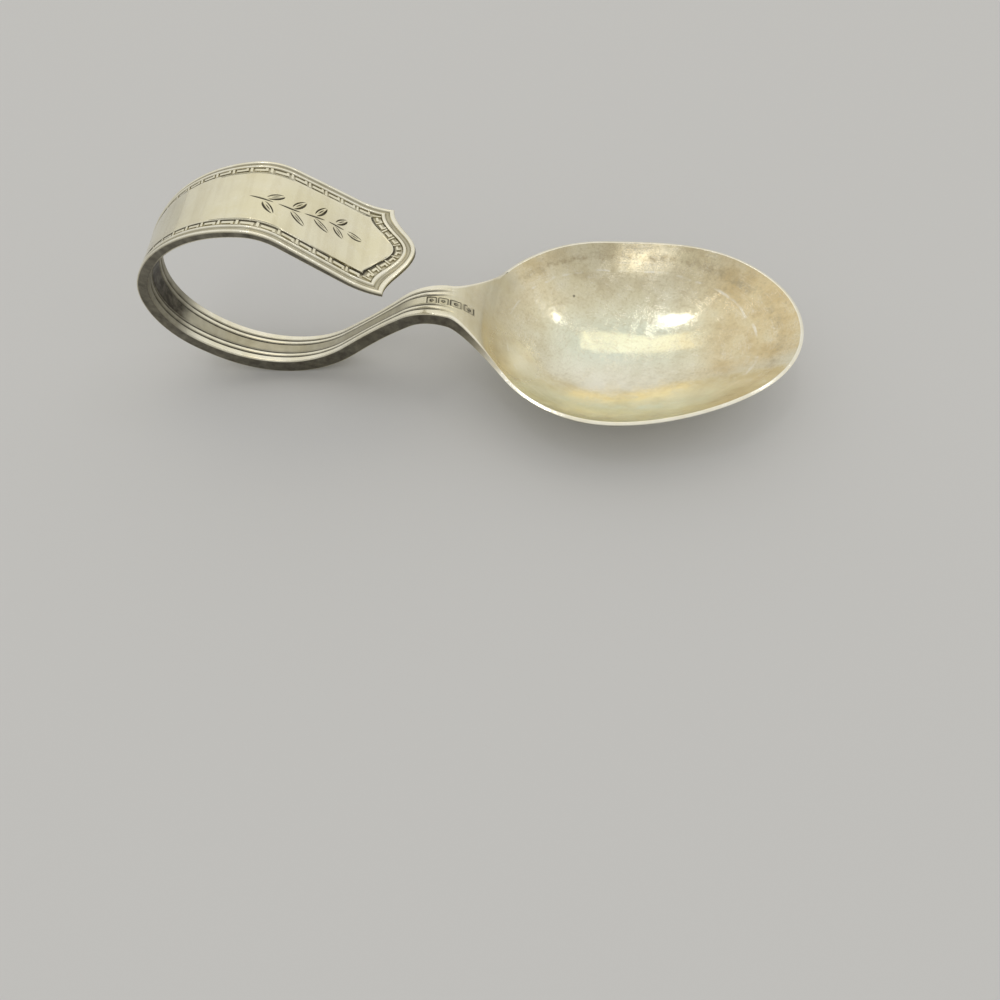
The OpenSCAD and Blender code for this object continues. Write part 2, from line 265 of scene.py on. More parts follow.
# The band's section: a flat inner face with two engraved threads along each edge, square sides with
# softened corners, and an outer face that falls to the edge under the border and stands up in a plain
# panel between. Points run from the near edge over the inner face and back under the outer one.
rail_width = 1.35
channel_width = 0.85
point_border = 2.65
panel_bevel = 0.1
thread_lines = (1.025, 1.775)
thread_half = 0.21
thread_depth = 0.2
thread_reach = 2.6
thread_fade = 4.5
thread_stop = -1.6
thread_wear = 0.7
groove_power = 1.2
margin_insets = (0.35, 0.6, 0.75)
inner_round = 0.16
outer_round = 0.12
bordered_round = 0.03
inner_turns = np.radians([0, 22.5, 45, 67.5, 90])
outer_turns = np.radians([0, 30, 60, 90])
relief_length = 6.0
border_fade = 3.0
keyed_fade = 5.0
seat_shares = (0.35, 0.6, 0.85, 1.0)
channel_shares = (0.2, 0.5, 0.8, 1.0)
# Share of the bevel, share of the step, darkness and wear over the panel's edge
panel_edge = ((0.45, 0.5, 0.8, 0), (0.8, 0.88, 0.2, 0.5), (1.0, 0.97, 0, 1), (1.7, 1, 0, 0.3))
border_spread = point_border / (rail_width + channel_width)
panel_inset = rail_width + channel_width + panel_bevel
fret_keys = 13
fret_pitch = 2.0
fret_end = corner_at - (rail_width + channel_width + 2 * panel_bevel) * border_spread
fret_start = fret_end - fret_keys * fret_pitch
groove_samples = np.linspace(-1, 1, 9)
# Painted shade darkens the band's side walls.
wall_painted_shade = 0.86
channel_dullness = 0.42
# The neck and the bowl's heel are darkened by a slight stain and by painted shade.
neck_stain_and_shade = 0.17
# Painted shade over the inner field: along the stem, and darkest inside the left bend and on its threads
# there.
stem_painted_shade = 0.5
bend_painted_shade = 0.97
bend_thread_painted_shade = 0.65
full_wear = 0.6
punch_places = ((-2.95, -1.7), (-1.4, -0.15), (0.15, 1.4), (1.7, 2.95))
punch_half = 0.42
punch_sway = -0.45
punch_depth = 0.11
punch_slope = 0.15
punch_end_slope = 0.28
punch_dullness = 0.3
punch_edge_dullness = 3.8
punch_sway_length = 6.0
pellet_radius = 0.3
pellet_slope = 0.16
pellet_rise = 0.8
field_shares = np.linspace(-1, 1, 25)[1:-1]
panel_shares = np.linspace(-1, 1, 15)[1:-1]
wall_shares = np.array([0.03, 0.35, 0.65, 0.97])


def taper(s):
    return half_width(s) / (band_widths[6] / 2)


def relief(s):
    return taper(s) ** 2 * float(rise(s, 0, relief_length))


def floor_level(s):
    return edge_metal(s) + edge_fall * relief(s)


def panel_level(s):
    return floor_level(s) + panel_step * relief(s)


def inner_half(s, along=None):
    """Rows of inset from the edge, depth, darkness and wear, from the edge to the field."""
    depth = float(rise(s if along is None else along, thread_stop, thread_fade))
    scale = min(half_width(s), thread_reach) / thread_reach
    wear = thread_wear * depth
    rows = []
    for a in inner_turns:
        rows.append((inner_round * (1 - math.cos(a)), inner_round * (1 - math.sin(a)), 0.0, math.sin(a)))
    for x, worn in zip(margin_insets, (thread_wear, wear, wear)):
        rows.append((x * scale, 0.0, 0.0, worn))
    for line in thread_lines:
        for t in groove_samples:
            cut = math.cos(t * math.pi / 2) ** groove_power * depth
            inset = (line + t * thread_half) * scale
            rows.append((inset, thread_depth * scale * cut, cut, wear * (1 - cut)))
    rows[-1] = rows[-1][:3] + (0.0,)
    return np.array(rows)


def outer_half(s):
    """Rows of inset from the edge, share of the fall, share of the step, rounding, darkness and wear."""
    q = taper(s)
    bordered = float(rise(s, marks[3] - border_fade, border_fade))
    keyed = float(rise(s, fret_start - border_fade, keyed_fade))
    corner = outer_round * mix(1, bordered_round, bordered)
    rows = []
    for a in outer_turns:
        rows.append((corner * (1 - math.cos(a)), 0.0, 0.0, corner * (1 - math.sin(a)), 0.0, 0.5))
    for t in seat_shares:
        rows.append((rail_width * q * t, t, 0.0, 0.0, 0.5 * bordered * t ** 4, 0.0))
    for t in channel_shares:
        dark = max(channel_dullness * keyed, bordered * t ** 3)
        rows.append(((rail_width + channel_width * t) * q, 1.0, 0.0, 0.0, dark, 0.0))
    for t, up, dark, wear in panel_edge:
        inset = rail_width + channel_width + panel_bevel * t
        rows.append((inset * q, 1.0, up, 0.0, dark * bordered, wear * bordered))
    return np.array(rows)


def outer_level(s, rows):
    raised = edge_fall * rows[..., 1] + panel_step * rows[..., 2]
    return edge_metal(s) + relief(s) * raised - rows[..., 3]


def ring(halves, inner, outer, sunk=0.0, shade=(0.0, 0.0), wall_shade=wall_painted_shade, polish=0.0):
    """One closed section; halves places the inner and outer rows of one side, -1 near and 1 far."""
    near_in, near_out = halves(-1)
    far_in, far_out = halves(1)
    field = mix(near_in[-1], far_in[-1], (field_shares[:, None] + 1) / 2)
    panel = mix(far_out[-1], near_out[-1], (panel_shares[:, None] + 1) / 2)
    far_wall = mix(far_in[0], far_out[0], wall_shares[:, None])
    near_wall = mix(near_out[0], near_in[0], wall_shares[:, None])
    sunk = np.broadcast_to(sunk, field_shares.shape)
    field = field + sunk[:, None] * unit(far_out[0] - far_in[0])
    points = np.concatenate([near_in, field, far_in[::-1], far_wall,
                             far_out, panel, near_out[::-1], near_wall])
    # The side walls take the painted shade given as their darkness, and the polish as their wear.
    walls = np.full(len(wall_shares), wall_shade)
    shine = np.full(len(wall_shares), polish)
    share = sunk / punch_depth
    field_dark = np.maximum(punch_edge_dullness * share * (1 - share) + punch_dullness * share, shade[0])
    inner_dark = np.maximum(inner[:, 2], mix(shade[0], shade[1], np.minimum(1, inner[:, 3] / full_wear)))
    inner_worn = inner[:, 3] * (1 - shade[1])
    dark = np.concatenate([inner_dark, field_dark, inner_dark[::-1], walls,
                           outer[:, 4], 0 * panel_shares, outer[::-1, 4], walls])
    worn = np.concatenate([inner_worn, 0 * field_shares, inner_worn[::-1], shine,
                           outer[:, 5], 0 * panel_shares, outer[::-1, 5], shine])
    return points, dark, worn


def punched(along, y):
    """Depth of the plain punched places across the field, at one place along the neck or shank."""
    depth = 0 * y
    for a, b in punch_places:
        middle = mix(punch_sway, 0, (along - punch_places[0][0]) / punch_sway_length)
        ends = ease(min(along - a, b - along) / punch_end_slope + 0.5)
        sides = rise(punch_half - np.abs(y - middle), -punch_slope, punch_slope)
        pellet = rise(-np.hypot(along - (a + b) / 2, y - middle), -pellet_radius, pellet_slope)
        depth = np.maximum(depth, punch_depth * ends * sides * (1 - pellet_rise * pellet))
    return depth


def inside_shade(s):
    """Painted shade over the inner field and its threads, darkest inside the left bend and lighter along
    the stem.
    """
    bend = float(rise(s, marks[3] - 1.5, 4.5) * rise(-s, -marks[4] - 12, 9))
    stem = float(rise(s, 3, 4) * rise(-s, -marks[4], 8))
    field = max(bend_painted_shade * bend, stem_painted_shade * stem, neck_stain_and_shade)
    return field, bend_thread_painted_shade * bend


def side_ring(s):
    inner = inner_half(s)
    outer = outer_half(s)

    def halves(side):
        return (place(s, side * (half_width(s) - inner[:, 0]), inner[:, 1]),
                place(s, side * (half_width(s) - outer[:, 0]), outer_level(s, outer)))

    sunk = punched(s, field_shares * (half_width(s) - inner[-1, 0]))
    return ring(halves, inner, outer, sunk, inside_shade(s))


def mitre_spot(inset_before, inset, reach):
    """Place along and across the band between the last plain section and the mitre at the corner."""
    at = mix(fret_end, corner_at - inset * border_spread, reach)
    edge = half_width(at) - mix(half_width(fret_end), band_widths[6] / 2, reach)
    y = mix(half_width(fret_end) - inset_before, band_widths[6] / 2 - inset, reach)
    return at, y + edge * max(0.0, 1 - inset / panel_inset)


def point_spot(inset, u):
    w = band_widths[6] / 2 - inset
    swing = point_length * (1 + math.cos(math.pi * (1 - u))) / 2
    return corner_at - inset * border_spread + swing, w * (1 - u)


def end_ring(spot):
    """A section past the last plain one; spot turns a row's inset, there and here, into its place."""
    inner = inner_half(corner_at)
    outer = outer_half(corner_at)
    inner_spots = [spot(before[0], row[0]) for before, row in zip(inner_half(fret_end), inner)]
    outer_spots = [spot(before[0], row[0]) for before, row in zip(outer_half(fret_end), outer)]

    def halves(side):
        over = [place(at, side * y, row[1]) for (at, y), row in zip(inner_spots, inner)]
        under = [place(at, side * y, outer_level(at, row)) for (at, y), row in zip(outer_spots, outer)]
        return np.array(over), np.array(under)

    return ring(halves, inner, outer)


def rows_between(a, b, step):
    return np.linspace(a, b, max(2, int(round((b - a) / step)) + 1))


row_step = 0.3
fine_step = 0.14
fine_stop = 4.2
shank_rows = np.concatenate([rows_between(0, fine_stop, fine_step),
                             rows_between(fine_stop, marks[2], row_step)[1:]])
loop_rows = np.concatenate([rows_between(marks[2], marks[3], row_step),
                            rows_between(marks[3], fret_start, row_step)[1:]])
shield_rows = rows_between(fret_start, fret_end, row_step)
mitre_rows = np.linspace(0, 1, 11)[1:]
point_shares = np.linspace(0, 1, 37)
point_rows = point_shares[1:]
inner_count = 2 * len(inner_half(0)) + len(field_shares)
outer_from = inner_count + len(wall_shares)
outer_count = 2 * len(outer_half(0)) + len(panel_shares)
panel_from = outer_from + len(outer_half(0)) - 1
panel_to = panel_from + len(panel_shares) + 1


# The neck: the plain flare between band and bowl, forged down from the band's end and spread along the
# heel of the rim. The threads of the inner face die out just inside it.
neck_rows = np.linspace(1, 0, 30)
neck_pull = neck_length * 1.25
neck_tone = 0.4
neck_edge = 0.5
neck_edge_wear = 0.85


def flare_angle(e):
    return math.pi - flare * e


def rim_lean(e):
    f = flare_angle(e)
    inward = unit(dish(np.full_like(f, 0.98), f) - dish(np.ones_like(f), f))
    aside = np.where(e > 0, -nudge, nudge)
    along_rim = unit(dish(np.ones_like(f), f + aside) - dish(np.ones_like(f), f))
    return unit(mix(inward, along_rim, (e * e)[:, None]))


def neck_ring(u):
    inner = inner_half(0, -u * neck_length)
    edge = inner[:, 0] < neck_edge
    inner[edge, 3] = np.maximum(inner[edge, 3], neck_edge_wear)
    outer = outer_half(0)
    half = band_widths[0] / 2
    metal = edge_metals[0]
    heading = path_start[2]
    off = -np.array([math.cos(heading), 0, math.sin(heading)]) * neck_pull

    def put(side, inset, n):
        e = side * (1 - inset / half)
        f = flare_angle(e)
        lean = rim_lean(e) * neck_pull
        top = hermite(place(0, e * half, 0), off, dish(np.ones_like(f), f), lean, u)
        under = hermite(place(0, e * half, metal), off, rim_back(f), lean, u)
        return mix(top, under, (n / metal)[:, None])

    def halves(side):
        return put(side, inner[:, 0], inner[:, 1]), put(side, outer[:, 0], metal - outer[:, 3])

    field_e = mix(-1 + inner[-1, 0] / half, 1 - inner[-1, 0] / half, (field_shares + 1) / 2)
    panel_e = mix(1 - outer[-1, 0] / half, -1 + outer[-1, 0] / half, (panel_shares + 1) / 2)
    sunk = punched(-u * neck_length, put(1, half * (1 - field_e), 0 * field_e)[:, 1])
    # The painted shade on the neck's walls fades out towards the bowl, where they are polished instead.
    wall_shade = wall_painted_shade * float(rise(-u, -0.8, 0.6))
    shade = (neck_stain_and_shade, 0.0)
    polish = float(rise(u, 0.35, 0.55))
    points, dark, worn = ring(halves, inner, outer, sunk, shade, wall_shade, polish)
    points[len(inner):len(inner) + len(field_shares)] = put(1, half * (1 - field_e), sunk)
    points[panel_from + 1:panel_to] = put(1, half * (1 - panel_e), 0 * panel_e + metal)
    return points, dark, worn


# The blank, put together row by row: neck, shank, loop and shield share their rows, so that the metal
# runs on without a seam.
handle_rings = [neck_ring(u) for u in neck_rows[:-1]]
neck_stop = len(handle_rings)
handle_rings += [side_ring(s) for s in shank_rows[:-1]]
shank_stop = len(handle_rings)
handle_rings += [side_ring(s) for s in loop_rows[:-1]]
loop_stop = len(handle_rings)
handle_rings += [side_ring(s) for s in shield_rows]
for reach in mitre_rows:
    handle_rings.append(end_ring(lambda before, inset: mitre_spot(before, inset, reach)))
for u in point_rows:
    handle_rings.append(end_ring(lambda before, inset: point_spot(inset, u)))
handle_s = np.concatenate([0 * neck_rows[:-1], shank_rows[:-1], loop_rows[:-1], shield_rows,
                           np.full(len(mitre_rows) + len(point_rows), corner_at)])
handle_tone = np.zeros(len(handle_rings))
handle_tone[:neck_stop] = neck_tone * rise(neck_rows[:-1], 0, 0.6)
ring_size = len(handle_rings[0][0])
first_seat = outer_from + len(outer_turns) - 1
seat_columns = list(range(first_seat, first_seat + len(seat_shares)))
seat_columns += [outer_from + outer_count - 2 - (c - outer_from) for c in seat_columns]


def band_piece(name, first, last, open_panel=False):
    skin = Skin(name)
    rows = []
    for i in range(first, last + 1):
        points, dark, worn = handle_rings[i]
        rows.append(skin.add(points, recess=dark, worn=worn, tone=handle_tone[i]))
    for i in range(len(rows) - 1):
        under_rail = handle_s[first + i] >= marks[3] - 1e-6
        for j in range(ring_size):
            k = (j + 1) % ring_size
            if open_panel and panel_from <= j < panel_to:
                continue
            face = (rows[i][j], rows[i][k], rows[i + 1][k], rows[i + 1][j])
            if under_rail and j in seat_columns:
                skin.hidden.append(face)
            else:
                skin.faces.append(face)
    return skin, rows


def close_end(skin, row, turn):
    over = row[:inner_count + 1]
    near_wall = row[:-len(wall_shares) - 1:-1]
    under = [row[0]] + near_wall + row[outer_from:outer_from + outer_count][::-1]
    under += row[inner_count:outer_from][::-1]
    skin.zip_hidden(over, under, turn)


# The bowl's own skin: rings from the bottom of the dish up to the rim, over the land, and back under to
# the flat. At the heel the rim is left square, because the neck runs on from it.
half_neck = band_widths[0] / 2
inside_wall = 0.97
outside_wall = 0.965
fine_from = 0.9
rim_points = 5
wall_tone = 0.35
right_tone = 1.2
left_tone = 0.405
most_tone = 1.25
near_cool = 0.5
near_wear = 0.8
cool_place = (2.5, 2.5)
cool_spread = (12, 5.5)
worn_place = (2, -4.6)
worn_spread = (9, 3.9)


def heel_spread(rows, skipped, shares):
    """Places across the heel, from 1 to -1 over its width, that meet the rows of the neck's end."""
    edge = 1 - rows[skipped:, 0] / half_neck
    return np.concatenate([edge, mix(edge[-1], -edge[-1], (shares + 1) / 2), -edge[::-1]])


heel_in = heel_spread(inner_half(0), len(inner_turns) - 1, field_shares)
heel_out = heel_spread(outer_half(0), len(outer_turns) - 1, panel_shares)
around = rows_between(flare - math.pi, math.pi - flare, bowl_step)
angles_in = np.concatenate([around, flare_angle(heel_in)])
angles_out = np.concatenate([around, flare_angle(heel_out)])
rings_u = np.concatenate([np.linspace(0, fine_from, 37)[1:], np.linspace(fine_from, 1, 8)[1:]])
bowl = Skin("bowl")
open_in = np.arange(len(angles_in)) < len(around)
open_out = np.arange(len(angles_out)) < len(around)
rim_in = dish(np.ones_like(angles_in), angles_in)
wall_in = dish(np.full_like(angles_in, inside_wall), angles_in)
rim_out = rim_back(angles_out)
wall_out = dish_back(np.full_like(angles_out, outside_wall), angles_out)
land_out = rim_back(angles_in)
land_in = dish(np.ones_like(angles_out), angles_out)
rim_share = rim_round / np.linalg.norm(rim_in - wall_in, axis=1) * (1 - inside_wall)
short_in = np.where(open_in, 1 - rim_share, 1.0)


def blob(points, middle, spread):
    """1 at a place in the bowl, falling away round it."""
    return np.exp(-np.sum(((points[:, :2] - middle) / spread) ** 2, axis=1))


def dish_values(points, u):
    """Point values inside the bowl; towards the heel they run on into those of the neck."""
    x, y = points[:, :2].T
    wall = rise(u, 0.25, 0.45)
    heel = rise(u, 0.7, 0.3) * rise(-x / (bowl_heel * u), 0.74, 0.1)
    near = rise(-y + 0.6 * np.maximum(0, -x - 6), 3, 6) * wall * (1 - heel)
    right = rise(x, 9, 9) * rise(y, -10, 8) * (1 - 0.45 * rise(y, 5, 6))
    left = rise(-x, 4, 6) * rise(y, -2, 5)
    toned = wall_tone * wall * (1 - near) + right_tone * right + left_tone * left
    toned = np.clip(toned, 0, most_tone)
    cool = np.maximum(blob(points, cool_place, cool_spread), near_cool * near)
    worn = np.maximum(blob(points, worn_place, worn_spread), near_wear * near)
    # Towards the heel the bowl takes on the neck's darkening, a slight stain and painted shade.
    return {"tone": mix(toned, neck_tone, heel), "cool": cool * (1 - heel), "basin": 1 - heel,
            "worn": worn, "recess": neck_stain_and_shade * heel, "reach": u}


bottom = bowl.add([dish(np.array([0.0]), np.array([0.0]))[0]], cool=0.9, basin=1.0)
inside_rows = []
for share in rings_u:
    u = share * short_in
    p = dish(u, angles_in)
    inside_rows.append(bowl.add(p, **dish_values(p, u)))
back_rows = []
for share in rings_u[:-1]:
    p = dish_back(np.full_like(angles_out, share * outside_wall / rings_u[-2]), angles_out)
    back_rows.append(bowl.add(p))
foot = bowl.add([(0.0, 0.0, 0.0)])
lip_in = bend_corner(wall_in[open_in], rim_in[open_in], land_out[open_in], rim_round, rim_points)
lip_out = bend_corner(land_in[open_out], rim_out[open_out], wall_out[open_out], rim_round, rim_points)
rim_rows = [inside_rows[-1][:len(around)]]
rim_rows += [bowl.add(p, worn=1.0, reach=1.0) for p in lip_in[1:] + lip_out]
heel_back = bowl.add(rim_out[~open_out])
rim_rows.append(back_rows[-1][:len(around)])
bowl.fan(bottom[0], inside_rows[0][::-1])
for a, b in zip(inside_rows[:-1], inside_rows[1:]):
    bowl.strip(a, b, closed=True)
for a, b in zip(rim_rows[:-1], rim_rows[1:]):
    bowl.strip(a, b)
top_back = rim_rows[-2] + heel_back
bowl.strip(top_back[len(around) - 1:] + top_back[:1],
           back_rows[-1][len(around) - 1:] + back_rows[-1][:1])
for a, b in zip(back_rows[::-1][:-1], back_rows[::-1][1:]):
    bowl.strip(a, b, closed=True)
bowl.fan(foot[0], back_rows[0])
far_lip = [r[len(around) - 1] for r in rim_rows[:-1]]
near_lip = [r[0] for r in rim_rows[:-1]]
middle = len(far_lip) // 2
cap_in = far_lip[middle::-1] + inside_rows[-1][len(around):] + near_lip[:middle + 1]
cap_out = far_lip[middle:] + heel_back + near_lip[:middle - 1:-1]
bowl.zip_hidden(cap_in, cap_out, True)

blank = {"bowl_dish": bowl}
for title, name, first, last in (("neck_flare", "neck", 0, neck_stop),
                                 ("handle_shank", "shank", neck_stop, shank_stop),
                                 ("loop_band", "loop", shank_stop, loop_stop)):
    blank[title], rows = band_piece(name, first, last)
    close_end(blank[title], rows[0], False)
    close_end(blank[title], rows[-1], True)
shield, rows = band_piece("shield", loop_stop, len(handle_rings) - 1, open_panel=True)
close_end(shield, rows[0], False)
blank["shield_panel"] = shield

# The engraving on the panel: a plain leafy sprig cut with a graver, each line a shallow groove that
# swells from a fine start and runs out again. The panel's face is laid out around the cuts.
sprig_middle = marks[6] + 2.2
cut_width = 0.24
cut_depth = 0.1
cut_dullness = 2.2
swell_power = 0.6
cut_lines = (-1, -0.55, 0, 0.55, 1)
cut_slope = 0.4
stem_sway = 0.55
stem_turn = 0.5
stem_end = 4.4
stem_width = 1.1
leaf_gap = 0.28
leaf_turn = 0.78
leaf_aside = 0.1
leaf_foot = 0.09
leaf_tip = 0.05
leaf_widths = (0.8, 1.25)
# Shares of the length and of the fatness where a leaf's outline bows out
leaf_bows = ((0.25, 1.0), (0.72, 0.8))
# Shares of the length, and how far aside, for its vein
vein_line = ((0.2, 0.0), (0.45, 0.03), (0.74, 0.0))
vein_width = 0.6
grid_step = 0.4
grid_width = 0.6
grid_margin = 0.25
grid_least = 0.2


def stroke(points, width=1.0, pieces=14):
    """A curved cut led by three or four points: its middle line and half width."""
    t = np.linspace(0, 1, pieces + 1)
    line = [np.array(point, float) for point in points]
    while len(line) > 1:
        line = [mix(a, b, t[:, None]) for a, b in zip(line[:-1], line[1:])]
    return line[0], np.sin(np.pi * t) ** swell_power * width * cut_width / 2


def leaf(base, angle, length, fat):
    """Two outline cuts and a vein for one pointed leaf."""
    along = np.array([math.cos(angle), math.sin(angle)])
    across = np.array([-along[1], along[0]])
    base = np.array(base) + along * leaf_gap

    def spot(share, aside):
        return base + along * length * share + across * aside

    cuts = []
    for side, width in zip((1, -1), leaf_widths):
        bows = [spot(share, side * fat * bow) for share, bow in leaf_bows]
        stop = spot(1, side * leaf_tip) - along * leaf_tip
        cuts.append(stroke([spot(0, side * leaf_foot), *bows, stop], width))
    cuts.append(stroke([spot(share, bow) for share, bow in vein_line], vein_width, 8))
    return cuts


def stem_y(t):
    return stem_sway * math.sin(t * stem_turn)


def stem_slope(t):
    return math.atan(stem_sway * stem_turn * math.cos(t * stem_turn))


sprig = []
for a, b in ((-6.0, -3.55), (-3.25, -0.75), (-0.45, 2.05), (2.35, stem_end)):
    third = (b - a) / 3
    sprig.append(stroke([(t, stem_y(t)) for t in (a, a + third, b - third, b)], stem_width))
for t, length in ((-4.6, 1.9), (-2.0, 2.2), (0.6, 2.2), (3.0, 1.8)):
    for side in (1, -1):
        base = (t + leaf_aside * side, stem_y(t) + leaf_aside * side)
        sprig += leaf(base, stem_slope(t) + side * leaf_turn, length, 0.42)
end_leaf = stem_end + 0.05
sprig += leaf((end_leaf, stem_y(end_leaf)), stem_slope(stem_end), 2.1, 0.45)

panel_rim = [(s, half_width(s) - outer_half(s)[-1, 0]) for s in shield_rows]
lip_before = outer_half(fret_end)[-1, 0]
lip_inset = outer_half(corner_at)[-1, 0]
panel_rim += [mitre_spot(lip_before, lip_inset, reach) for reach in mitre_rows]
panel_rim += [point_spot(lip_inset, u) for u in point_rows]
flat_points = []
flat_index = []
first_rim = panel_rim[0]
for j in range(panel_from, panel_to + 1):
    share = (j - panel_from) / (panel_to - panel_from)
    flat_points.append((first_rim[0], mix(first_rim[1], -first_rim[1], share)))
    flat_index.append(rows[0][j])
for i in range(1, len(rows)):
    flat_points.append((panel_rim[i][0], -panel_rim[i][1]))
    flat_index.append(rows[i][panel_to])
for i in range(len(rows) - 2, 0, -1):
    flat_points.append(panel_rim[i])
    flat_index.append(rows[i][panel_from])
outline = list(range(len(flat_points)))
cut_edges = []
cut_depths = {}
cut_spots = []
for line, swell in sprig:
    lead = unit(np.gradient(line, axis=0))
    side = np.stack([-lead[:, 1], lead[:, 0]], -1)
    origin = np.array([sprig_middle, 0.0])
    ends = [len(flat_points), len(flat_points) + 1]
    flat_points += [tuple(line[0] + origin), tuple(line[-1] + origin)]
    for offset in cut_lines:
        previous = ends[0]
        for k in range(1, len(line) - 1):
            flat_points.append(tuple(line[k] + offset * swell[k] * side[k] + origin))
            now = len(flat_points) - 1
            if abs(offset) < 1:
                cut_depths[now] = cut_depth * (1 - cut_slope * abs(offset)) * swell[k] / (cut_width / 2)
            cut_edges.append((previous, now))
            previous = now
        cut_edges.append((previous, ends[1]))
    cut_spots.append(line + origin)
cut_spots = np.concatenate(cut_spots)
rim_array = np.array(panel_rim)
for s in np.arange(fret_start + grid_step, panel_rim[-1][0], grid_step):
    wide = np.interp(s, rim_array[:, 0], rim_array[:, 1]) - grid_margin
    if wide <= grid_least:
        continue
    for y in np.linspace(-wide, wide, max(2, int(wide * 2 / grid_width))):
        if np.min(np.sum((cut_spots - [s, y]) ** 2, axis=1)) > grid_margin ** 2:
            flat_points.append((s, y))
laid = delaunay_2d_cdt([Vector(p) for p in flat_points], cut_edges, [outline], 1, 1e-5, True)
panel_index = []
for spot, sources in zip(laid[0], laid[3]):
    known = [k for k in sources if k < len(flat_index)]
    if known:
        panel_index.append(flat_index[known[0]])
        continue
    depth = max([cut_depths.get(k, 0.0) for k in sources] + [0.0])
    at = place(spot[0], np.array([spot[1]]), panel_level(spot[0]) - depth)
    panel_index += shield.add(at, recess=min(1.0, depth / cut_depth * cut_dullness))
deep = {panel_index[i] for i, sources in enumerate(laid[3]) if any(k in cut_depths for k in sources)}
for face in laid[2]:
    corners = tuple(panel_index[k] for k in face)
    if any(k in deep for k in corners):
        shield.cuts.append(corners)
    else:
        shield.faces.append(corners)


# The silver: sterling gone warm with age, satin from years of fine scratches, darkened by tarnish in its
# hollows and by painted shade on the band's walls, inside the loop and over the neck. One finish for the
# whole spoon, led by what each point of the metal is.
fresh_silver = (0.89, 0.85, 0.68)
warm_silver = (0.855, 0.805, 0.6)
gold_film = (0.775, 0.6, 0.32)
cool_film = (0.75, 0.83, 0.745)
stained = (0.54, 0.46, 0.3)
rubbed = (0.965, 0.945, 0.87)
dark_tarnish_and_shade = (0.07, 0.062, 0.05)
pit_dark = (0.12, 0.105, 0.08)
pit_place = (-4.2, 9.45, 3.82)
dulled_place = (-12.5, -4.1, 5.7)
patch_stain = 0.2
bare_stain = 0.1
band_stain = 0.16
mottle_stain = 0.14
speck_stain = 0.26
score_stain = 0.13
tide_stain = 0.62
tide_reach = 0.955
rub_reach = 0.85
rub_shine = 0.5
line_shine = 0.16
least_haze = 0.065
mottle_haze = 0.06
wall_haze = 0.08
handle_haze = 0.055
grime_haze = 0.35
dulled_haze = 0.24
bump_strength = 0.5
wave_height = 0.000025
scuff_height = 0.000004
# Turn, length and width of each set of scratches
dark_scratches = (((0.1, 0.3, 1.0), 3.0, 0.7), ((0.4, -0.1, -0.4), 3.5, 0.8))
light_scratches = (((0.2, 0.1, 0.5), 6.0, 0.45), ((-0.1, 0.3, -0.7), 5.0, 0.4),
                   ((0.3, -0.2, 1.4), 4.0, 0.4), ((0.1, 0.2, 2.3), 3.0, 0.5))


def fill(tree, socket, value):
    if isinstance(value, bpy.types.NodeSocket):
        tree.links.new(value, socket)
    else:
        socket.default_value = value


def node(tree, kind, inputs=None, **settings):
    made = tree.nodes.new(kind)
    for key, value in settings.items():
        setattr(made, key, value)
    for key, value in (inputs or {}).items():
        fill(tree, made.inputs[key], value)
    return made


def math_node(operation, a, b=0.0, clamp=False):
    """One operation on two values, in the tree of the one that is a socket."""
    tree = (a if isinstance(a, bpy.types.NodeSocket) else b).id_data
    return node(tree, "ShaderNodeMath", {0: a, 1: b}, operation=operation, use_clamp=clamp).outputs[0]


def plus(a, b):
    return math_node("ADD", a, b)


def less(a, b):
    return math_node("SUBTRACT", a, b)


def times(a, b):
    return math_node("MULTIPLY", a, b)


def ramp_node(value, low, high):
    made = node(value.id_data, "ShaderNodeMapRange", {"Value": value, "From Min": low, "From Max": high},
                interpolation_type="SMOOTHSTEP")
    return made.outputs["Result"]


def blend_node(share, a, b):
    tree = share.id_data
    made = node(tree, "ShaderNodeMix", {"Factor": share}, data_type="RGBA")
    for socket, value in ((made.inputs[6], a), (made.inputs[7], b)):
        fill(tree, socket, (*value, 1.0) if isinstance(value, tuple) else value)
    return made.outputs[2]


def noise_node(where, scale, detail=3.0, rough=0.55):
    made = node(where.id_data, "ShaderNodeTexNoise",
                {"Vector": where, "Scale": scale, "Detail": detail, "Roughness": rough})
    return made.outputs["Fac"]


def hair_node(where, thickness):
    """Hairlines: the thin lines along which a noise passes its middle value."""
    off = math_node("ABSOLUTE", less(noise_node(where, 1.0, 1.5), 0.5))
    return ramp_node(off, thickness, thickness * 0.3)


def scratch_node(where, turn, length, width, thickness):
    """Hairlines drawn out along one direction."""
    laid_out = node(where.id_data, "ShaderNodeMapping",
                    {"Vector": where, "Rotation": turn, "Scale": (length, width, width)},
                    vector_type="TEXTURE").outputs["Vector"]
    return hair_node(laid_out, thickness)


def ring_node(reach, wander, at, half, core):
    """A line round the dish at one share of its reach, thrown off a little by a noise."""
    return ramp_node(math_node("ABSOLUTE", less(plus(reach, wander), at)), half, core)


def off_node(where, place_mm):
    made = node(where.id_data, "ShaderNodeVectorMath", {0: where, 1: place_mm}, operation="DISTANCE")
    return made.outputs["Value"]


